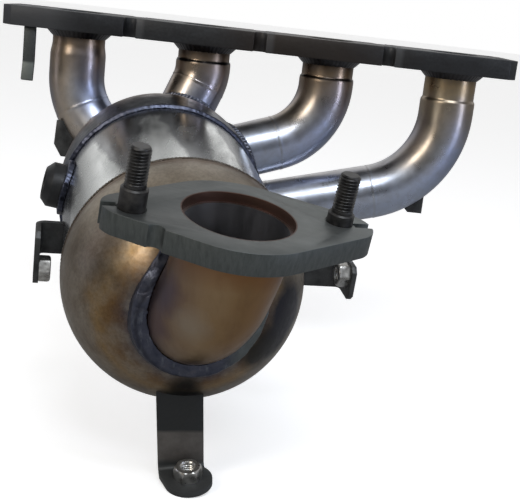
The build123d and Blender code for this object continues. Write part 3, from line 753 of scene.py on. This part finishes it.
def runner_route(index):
    """Points, directions and distances down a runner's centre line, and where its bend ends."""
    spec = RUNNERS[index]
    x = PORTS[index]
    start = Vector((x, 0, -FLANGE_LAND))
    corner = Vector((x, 0, -spec["drop"]))
    end = at_can(*spec["aim"])
    first = Vector((0, 0, -1))
    second = (end - corner).normalized()
    angle = first.angle(second)
    cut = spec["bend"] * tan(angle / 2)
    bend_start = corner - first * cut
    bend_end = corner + second * cut
    side = (second - first * second.dot(first)).normalized()
    centre = bend_start + side * spec["bend"]
    points, tangents = [], []
    straight = (bend_start - start).length
    for d in np.arange(0, straight, ROUTE_STEP):
        points.append(start + first * d)
        tangents.append(first)
    bend_length = spec["bend"] * angle
    steps = int(bend_length / ROUTE_STEP)
    for k in range(steps + 1):
        t = angle * k / steps
        points.append(centre - side * spec["bend"] * cos(t) + first * spec["bend"] * sin(t))
        tangents.append(first * cos(t) + side * sin(t))
    run_out = (end - bend_end).length
    for d in np.arange(ROUTE_STEP, run_out, ROUTE_STEP):
        points.append(bend_end + second * d)
        tangents.append(second)
    distances = [0.0]
    for a, b in zip(points, points[1:]):
        distances.append(distances[-1] + (b - a).length)
    return points, tangents, distances, straight + bend_length


def inside_collector(point):
    """How deep a point is inside the collector's shell, in millimetres, below zero outside."""
    local = point - SHOULDER
    along = local.dot(ALONG) + COLLECTOR_STRAIGHT
    off = sqrt(local.dot(ACROSS) ** 2 + local.dot(UP) ** 2)
    radius = CAN_RADIUS + COLLECTOR_WALL
    return radius - (sqrt(off**2 + along**2) if along < 0 else off)


def seam(distance, place, height, width=0.7):
    """A low ring round a tube, as a change of its radius."""
    return height * exp(-(((distance - place) / width) ** 2))


def build_runner(index):
    """A runner's tube, open at both ends, with a stepped neck and faint rings where it was joined."""
    points, tangents, distances, bend_end = runner_route(index)
    spec = RUNNERS[index]
    neck_length = FLANGE_THICKNESS + spec["neck"] - FLANGE_LAND
    joint = next(d for p, d in zip(points, distances) if inside_collector(p) > 0) - 24.0
    outer, inner, along = [], [], []
    first, second, _ = basis(tangents[0], (0, 1, 0))
    for point, tangent, distance in zip(points, tangents, distances):
        turn = Vector(basis(tangent, first)[0])
        first, second = turn, tangent.cross(turn)
        step = min(max((distance - neck_length) / spec["step"], 0.0), 1.0)
        radius = NECK_RADIUS + (RUNNER_RADIUS - NECK_RADIUS) * step * step * (3 - 2 * step)
        radius += seam(distance, bend_end, 0.22) - seam(distance, bend_end + 1.2, 0.16, 0.5)
        if index in (0, 3):
            radius += seam(distance, joint, 0.20)
        if index > 0:
            radius -= seam(distance, neck_length + 1.9, 0.18, 0.5)
        ring_out, ring_in = [], []
        for j in range(RUNNER_SIDES):
            angle = 2 * pi * j / RUNNER_SIDES
            way = first * cos(angle) + second * sin(angle)
            ring_out.append((point + way * radius) * MM)
            ring_in.append((point + way * (radius - TUBE_WALL)) * MM)
            along.append(distance - FLANGE_THICKNESS + FLANGE_LAND)
        outer.append(ring_out)
        inner.append(ring_in)
        if inside_collector(point) > RUNNER_END_DEPTH:
            break
    rings = outer + inner[::-1]
    mesh = grid_mesh(f"runner_{index + 1}_tube", rings, joined=True)
    values = np.array(along)
    values = np.concatenate([values, values.reshape(-1, RUNNER_SIDES)[::-1].reshape(-1)])
    data = mesh.attributes.new("along", "FLOAT", "POINT")
    data.data.foreach_set("value", values.astype(np.float32))
    name = f"runner_{index + 1}"
    shown(f"{name}_tube", smoothed(mesh, 40), [runner_look(index)], "runner_steel", name)


for i in range(4):
    build_runner(i)

# ------------------------------------------------------------------ welds


SEAM_BINS = 90


def noise_values(points, size_mm, seed):
    shift = Vector((seed, -seed, seed * 0.5))
    return np.array([noise.noise(Vector(p) / (size_mm * MM) + shift) for p in points])


def build_weld(
    node, origin, axis, across, look, seed, pitch=2.2, height=0.35, voxel=0.45, smooth=5, lumps=0.35
):
    """A CAD bead made round and rippled: its ripples go round the axis of its seam."""
    mesh = merged(node)
    mesh = evaluated(
        mesh,
        ("REMESH", {"mode": "VOXEL", "voxel_size": voxel * MM}),
        ("SMOOTH", {"factor": 0.5, "iterations": smooth}),
    )
    count = len(mesh.vertices)
    places = np.zeros(count * 3)
    normals = np.zeros(count * 3)
    mesh.vertices.foreach_get("co", places)
    mesh.vertices.foreach_get("normal", normals)
    places, normals = places.reshape(-1, 3), normals.reshape(-1, 3)
    first, second, axis = basis(axis, across)
    local = places / MM - np.array(origin)
    x, y, z = local @ np.array(first), local @ np.array(second), local @ np.array(axis)
    angle = np.arctan2(y, x)
    off_axis = np.hypot(x, y)
    radius = float(np.median(off_axis))
    ripples = max(round(2 * pi * radius / pitch), 8)
    middle = np.zeros(count)
    bins = ((angle + pi) / (2 * pi) * SEAM_BINS).astype(int) % SEAM_BINS
    for k in range(SEAM_BINS):
        chosen = bins == k
        if chosen.any():
            middle[chosen] = z[chosen].mean() - off_axis[chosen].mean()
    off_centre = (z - off_axis) - middle
    wander = noise_values(places, 7, seed) * 1.3
    phase = angle * ripples + (off_centre / 2.2) ** 2 * 0.9 + wander
    wave = 0.5 + 0.5 * np.cos(phase)
    wave = 1 - (1 - wave) ** 1.6
    swell = noise_values(places, 5, seed + 3) * lumps
    places = places + normals * ((wave - 0.6) * height + swell * max(height, 0.3))[:, None] * MM
    mesh.vertices.foreach_set("co", places.reshape(-1))
    data = mesh.attributes.new("crest", "FLOAT", "POINT")
    data.data.foreach_set("value", wave.astype(np.float32))
    mesh.update()
    mesh.shade_smooth()
    mesh.materials.clear()
    return shown(f"{node}_bead", mesh, [LOOKS[look]], "weld", node)


for i, x in enumerate(PORTS):
    port = (x, 0, -FLANGE_THICKNESS)
    build_weld(f"port_weld_{i + 1}", port, (0, 0, 1), (1, 0, 0), "weld_dark", i, pitch=2.6, height=0.12)
    end = at_can(*RUNNERS[i]["aim"])
    corner = Vector((x, 0, -RUNNERS[i]["drop"]))
    build_weld(f"collector_weld_{i + 1}", end, end - corner, (0, 0, 1), "weld", i + 5)

CAN_SEAM = {"origin": SHOULDER, "axis": ALONG, "across": ACROSS}
OUTLET_SEAM = {"origin": OUTLET, "axis": OUTLET_AXIS, "across": ACROSS}
BOSS_SEAM = {"origin": BOSS, "axis": BOSS_AXIS, "across": ALONG}
ELBOW_SEAM = {"origin": ELBOW_MIDDLE, "axis": ELBOW_WAY, "across": ACROSS}
ROUND_BEAD = {"pitch": 3.4, "height": 0.08, "voxel": 0.4, "smooth": 6, "lumps": 1.1}
FINE_BEAD = {"pitch": 2.0, "height": 0.22, "voxel": 0.4, "smooth": 3}
BOSS_BEAD = {"pitch": 2.6, "height": 0.10, "smooth": 6, "lumps": 1.0}
SHARP_BEAD = {"voxel": 0.4, "smooth": 4}
THICK_BEAD = {"pitch": 4.6, "height": 0.10, "voxel": 0.5, "smooth": 10, "lumps": 1.5}
BEADS = [
    ("collector_can_weld", CAN_SEAM, "weld_deep", 11, ROUND_BEAD),
    ("dome_can_weld", CAN_SEAM, "weld_brown", 12, FINE_BEAD),
    ("sensor_boss_weld", BOSS_SEAM, "weld_deep", 13, BOSS_BEAD),
    ("outlet_flange_weld", OUTLET_SEAM, "weld_dark", 14, SHARP_BEAD),
    ("elbow_weld", ELBOW_SEAM, "weld_elbow", 15, THICK_BEAD),
]
for node, place, look, seed, form in BEADS:
    build_weld(node, **place, look=look, seed=seed, **form)

# ------------------------------------------------------------------ studs, nuts and boss


def thread(pitch, depth, low, high):
    """A change of radius that follows a thread between two heights, fading out at its ends."""

    def cut(along, angle):
        turn = (along / pitch - angle / (2 * pi)) % 1.0
        form = 1 - abs(2 * turn - 1)
        form = min(max((form - 0.12) / 0.72, 0.0), 1.0)
        fade = min(max((along - low) / pitch, 0.0), 1.0) * min(max((high - along) / pitch, 0.0), 1.0)
        return depth * form * fade

    return cut


STUD_ACROSS = 49.0
STUD_RADIUS = 4.95
STUD_SEAT_RADIUS = 5.2
STUD_SEAT_DEPTH = 10.6
COLLAR_RADIUS = 6.2
COLLAR_FOOT = 0.6
STUD_THREAD_LENGTH = 18.8
STUD_THREAD_PITCH = 1.5
STUD_THREAD_DEPTH = 0.85


def build_stud(side, collar, node):
    """A stud seated in the outlet flange, with a round collar of a given height under its thread."""
    base = at_outlet(STUD_ACROSS * side, 0, 0)
    top = collar + STUD_THREAD_LENGTH
    cut = thread(STUD_THREAD_PITCH, STUD_THREAD_DEPTH, collar + 1.2, top - 0.2)

    def shape(r, along, angle):
        return r - cut(along, angle) if along > collar else r

    stations = [(0.001, -STUD_SEAT_DEPTH), (STUD_SEAT_RADIUS - 0.2, -STUD_SEAT_DEPTH)]
    stations += [(STUD_SEAT_RADIUS, -STUD_SEAT_DEPTH + 0.2), (STUD_SEAT_RADIUS, -COLLAR_FOOT)]
    stations += [(COLLAR_RADIUS, -COLLAR_FOOT), (COLLAR_RADIUS, collar - 0.7)]
    stations += [(COLLAR_RADIUS - 0.7, collar), (STUD_RADIUS, collar)]
    stations += [(STUD_RADIUS, z) for z in np.arange(collar + 0.3, top - 1.1, 0.15)]
    stations += [(STUD_RADIUS, top - 1.1), (STUD_RADIUS - 0.5, top - 0.6)]
    stations += [(STUD_RADIUS - 1.1, top - 0.04), (0.001, top - 0.04)]
    mesh = lathe(f"{node}_thread", base, OUTLET_AXIS, OUTLET_ROW, stations, 72, shape, joined=False)
    shown(f"{node}_threaded", smoothed(mesh, 35), [LOOKS["stud"]], "stud_steel", node)


build_stud(-1, 10.0, "outlet_stud_left")
build_stud(1, 5.0, "outlet_stud_right")


NUT_FLAT = 6.5
NUT_HEIGHT = 6.5
NUT_HOLE = 3.4
NUT_THREAD_PITCH = 1.25
NUT_THREAD_DEPTH = 0.5


def build_nut(node, face, axis, across):
    """A hexagonal weld nut with a chamfered crown and a threaded hole."""
    crown = NUT_FLAT * 2 / sqrt(3)
    cut = thread(NUT_THREAD_PITCH, NUT_THREAD_DEPTH, 0.4, NUT_HEIGHT - 0.2)

    def shape(r, along, angle):
        if r <= NUT_HOLE:
            return r + cut(along, angle)
        if r <= NUT_HOLE + 1.0:
            return r
        return min(NUT_FLAT / cos(angle % (pi / 3) - pi / 6), r)

    stations = [(crown - 0.4, 0.0), (crown, 0.4), (crown, NUT_HEIGHT - 1.4)]
    stations += [(NUT_FLAT + 0.6, NUT_HEIGHT - 0.5), (NUT_FLAT - 0.3, NUT_HEIGHT)]
    stations += [(NUT_HOLE + 0.8, NUT_HEIGHT), (NUT_HOLE, NUT_HEIGHT - 0.7)]
    stations += [(NUT_HOLE, z) for z in np.arange(NUT_HEIGHT - 0.9, 0.3, -0.2)]
    stations += [(NUT_HOLE + 0.2, 0.0)]
    mesh = lathe(f"{node}_hex", face, axis, across, stations, 96, shape)
    shown(f"{node}_hex", smoothed(mesh, 28), [LOOKS["nut"]], "nut_zinc", node)


FOOT_ACROSS = -7.5
FOOT_ALONG = 173.5
FOOT_DROP = 91.0
FOOT_LOBE_REACH = 12.0
FOOT_LOBE_SHIFT = 2.5
FOOT_NUT_BACK = 1.4
HALF_SHEET = 1.5
FOOT_TURN = radians(7.0)
FOOT_UP = UP * cos(FOOT_TURN) - ACROSS * sin(FOOT_TURN)
FOOT_RIGHT = ACROSS * cos(FOOT_TURN) + UP * sin(FOOT_TURN)
foot_nut = at_can(FOOT_ACROSS, 0, 0) + FOOT_RIGHT * FOOT_LOBE_SHIFT
foot_nut += ALONG * (FOOT_ALONG + FOOT_LOBE_REACH - FOOT_NUT_BACK) - FOOT_UP * (FOOT_DROP - HALF_SHEET)
build_nut("bottom_bracket_nut", foot_nut, FOOT_UP, FOOT_RIGHT)


SIDE_NUT_FROM_END = 7.5


def side_nut(side, along, up, reach, leg):
    """Where a side bracket's nut sits: on its leg's inner face, a little before the leg's end."""
    across = side * (CAN_RADIUS + reach - HALF_SHEET)
    return at_can(across, up - leg * (1 - SIDE_NUT_FROM_END / abs(leg)), along)


build_nut("left_bracket_nut", side_nut(-1, 84, 5, 14, 32), ACROSS, ALONG)
build_nut("right_bracket_nut", side_nut(1, 106, -14.5, 38.5, -18), -ACROSS, ALONG)

BOSS_RADIUS = 13.5
BOSS_FACE_RADIUS = 9.2
BOSS_HOLE = 8.2
BOSS_FOOT = 60.4
BOSS_TOP = 75.0


def build_boss():
    """A turned boss with a wide chamfer and a threaded hole."""
    cut = thread(1.5, 0.8, 61.5, 74.5)

    def shape(r, along, angle):
        return r + cut(along, angle) if r < BOSS_HOLE + 0.1 else r

    stations = [(BOSS_RADIUS, BOSS_FOOT), (BOSS_RADIUS, 70.9), (BOSS_RADIUS - 0.2, 71.3)]
    stations += [(BOSS_FACE_RADIUS + 0.5, BOSS_TOP - 0.1), (BOSS_FACE_RADIUS, BOSS_TOP)]
    stations += [(BOSS_HOLE, BOSS_TOP - 1.2)]
    stations += [(BOSS_HOLE, z) for z in np.arange(BOSS_TOP - 1.5, 61.0, -0.2)]
    stations += [(BOSS_HOLE, BOSS_FOOT + 0.2)]
    mesh = lathe("sensor_boss_turned", BOSS, BOSS_AXIS, ALONG, stations, 96, shape)
    shown("sensor_boss_turned", smoothed(mesh, 30), [LOOKS["boss"]], "boss_steel", "sensor_boss")


build_boss()

# ------------------------------------------------------------------ plates, can, dome and elbow

edged("head_flange", 0.7, [LOOKS["flange"], LOOKS["flange_edge"]], "flange_steel")
edged("outlet_flange", 0.6, [LOOKS["outlet_flange"], LOOKS["outlet_edge"]], "outlet_flange_steel")
edged("bottom_bracket", 0.45, [LOOKS["strap"], LOOKS["bracket_edge"]], "bracket_steel")
edged("flange_tab", 0.4, [LOOKS["tab"], LOOKS["bracket_edge"]], "bracket_steel")
for node in ("left_bracket", "right_bracket", "gusset", "runner_lug"):
    edged(node, 0.4, [LOOKS["bracket"], LOOKS["bracket_edge"]], "bracket_steel")

CARRIED = {
    "catalyst_can": "can",
    "collector_shell": "collector",
    "outlet_dome": "dome",
    "outlet_elbow": "elbow",
    "catalyst_substrate": "ceramic",
    "support_mat": "mat",
}
for node, look in CARRIED.items():
    nodes[node].data.materials.clear()
    nodes[node].data.materials.append(LOOKS[look])

# ------------------------------------------------------------------ floor, light and camera


def floor():
    """Pale paper that keeps a soft shadow, and gives back less light than the eye sees."""
    look = Look("floor_paper", metal=0.0, rough=0.8)
    grain = look.noise(4, 3)
    seen = look.add("ShaderNodeLightPath").outputs["Is Camera Ray"]
    paper = look.ramp(grain, [(0.3, (0.86, 0.86, 0.86)), (0.7, (0.88, 0.88, 0.88))])
    look.shader.inputs["Emission Color"].default_value = (1, 1, 1, 1)
    look.feed(look.shader.inputs["Emission Strength"], look.maths("MULTIPLY", seen, 0.52))
    look.finish(look.mix(seen, (0.42, 0.42, 0.42), paper), None, look.bump(grain, 0.02, 0.1))
    low = cad_box[0].z
    rings = []
    for radius in (0.0005, 0.5, 1.5, 4.0, 12.0):
        turns = [2 * pi * j / 64 for j in range(64)]
        rings.append([(radius * cos(turn), radius * sin(turn) - 0.1, low) for turn in turns])
    mesh = grid_mesh("floor_sheet", rings)
    mesh.materials.append(look.material)
    sheet = bpy.data.objects.new("floor_sheet", mesh)
    scene.collection.objects.link(sheet)


def panel(name, place, aim, width, height, power, colour=(1, 1, 1)):
    light = bpy.data.lights.new(name, "AREA")
    light.shape = "RECTANGLE"
    light.size, light.size_y = width, height
    light.energy = power
    light.color = colour
    lamp = bpy.data.objects.new(name, light)
    scene.collection.objects.link(lamp)
    lamp.location = place
    lamp.rotation_mode = "QUATERNION"
    lamp.rotation_quaternion = (Vector(aim) - Vector(place)).to_track_quat("-Z", "Y")


floor()
TARGET = (0.0, -0.12, -0.1)
panel("key_left", (-0.75, -0.95, 0.55), TARGET, 0.35, 0.6, 4.2, (1.0, 0.93, 0.84))
panel("front_above", (0.25, -0.95, 1.0), TARGET, 0.8, 0.45, 9.0, (0.88, 0.93, 1.0))
panel("strip_right", (0.95, -0.55, 0.10), TARGET, 0.12, 0.9, 2.6, (0.72, 0.79, 1.0))
panel("strip_left", (-1.1, -0.05, 0.10), TARGET, 0.08, 0.8, 0.4, (0.78, 0.80, 1.0))


def studio():
    """White to the eye; as light, bright high at the back in three windows, and dark in front."""
    world = bpy.data.worlds.new("studio")
    scene.world = world
    world.use_nodes = True
    tree = world.node_tree
    tree.nodes.clear()

    def add(kind, *inputs, **values):
        node = tree.nodes.new(kind)
        for key, value in values.items():
            setattr(node, key, value)
        for socket, value in zip(node.inputs, inputs):
            if isinstance(value, bpy.types.NodeSocket):
                tree.links.new(value, socket)
            elif value is not None:
                socket.default_value = value
        return node

    def levels(factor, stops):
        node = add("ShaderNodeValToRGB", factor)
        marks = node.color_ramp.elements
        while len(marks) < len(stops):
            marks.new(0.5)
        for mark, (where, level) in zip(marks, stops):
            mark.position, mark.color = where, (level, level, level, 1)
        return node.outputs[0]

    way = add("ShaderNodeSeparateXYZ", add("ShaderNodeTexCoord").outputs["Generated"]).outputs
    height = add("ShaderNodeMath", way[2], 0.5, 0.5, operation="MULTIPLY_ADD").outputs[0]
    depth = add("ShaderNodeMath", way[1], 0.5, 0.5, operation="MULTIPLY_ADD").outputs[0]
    turn = add("ShaderNodeMath", way[0], way[1], operation="ARCTAN2").outputs[0]
    bearing = add("ShaderNodeMath", turn, 0.5 / pi, 0.5, operation="MULTIPLY_ADD").outputs[0]
    by_height = levels(height, [(0.0, 0.10), (0.5, 0.20), (0.56, 0.50), (0.62, 1.0), (0.9, 0.95), (1.0, 0.8)])
    by_depth = levels(depth, [(0.0, 0.30), (0.4, 0.40), (0.7, 0.8), (1.0, 1.0)])
    left = [(0.33, 0.6), (0.36, 1.0), (0.42, 1.0), (0.44, 0.55)]
    middle = [(0.465, 0.55), (0.48, 1.0), (0.535, 1.0), (0.55, 0.55)]
    right = [(0.57, 0.55), (0.585, 1.0), (0.64, 1.0), (0.67, 0.6)]
    windows = levels(bearing, left + middle + right)
    light = add("ShaderNodeMath", by_height, by_depth, operation="MULTIPLY").outputs[0]
    light = add("ShaderNodeMath", light, windows, operation="MULTIPLY").outputs[0]
    seen = add("ShaderNodeLightPath").outputs["Is Camera Ray"]
    strength = add("ShaderNodeMix", seen, None, light, 1.0).outputs[0]
    node = add("ShaderNodeBackground", (1, 1, 1, 1), strength)
    tree.links.new(node.outputs[0], add("ShaderNodeOutputWorld").inputs["Surface"])


studio()

scene.view_settings.view_transform = "Standard"

camera_data = bpy.data.cameras.new("photo_camera")
camera_data.lens = 69.579
camera_data.sensor_width = 36.0
camera_data.sensor_fit = "HORIZONTAL"
camera_data.clip_start, camera_data.clip_end = 0.01, 50.0
camera = bpy.data.objects.new("photo_camera", camera_data)
scene.collection.objects.link(camera)
camera.rotation_mode = "QUATERNION"
camera.rotation_quaternion = (0.785893, 0.615874, -0.047791, 0.028078)
camera.location = (-0.018483, -0.688736, 0.018026)
scene.camera = camera
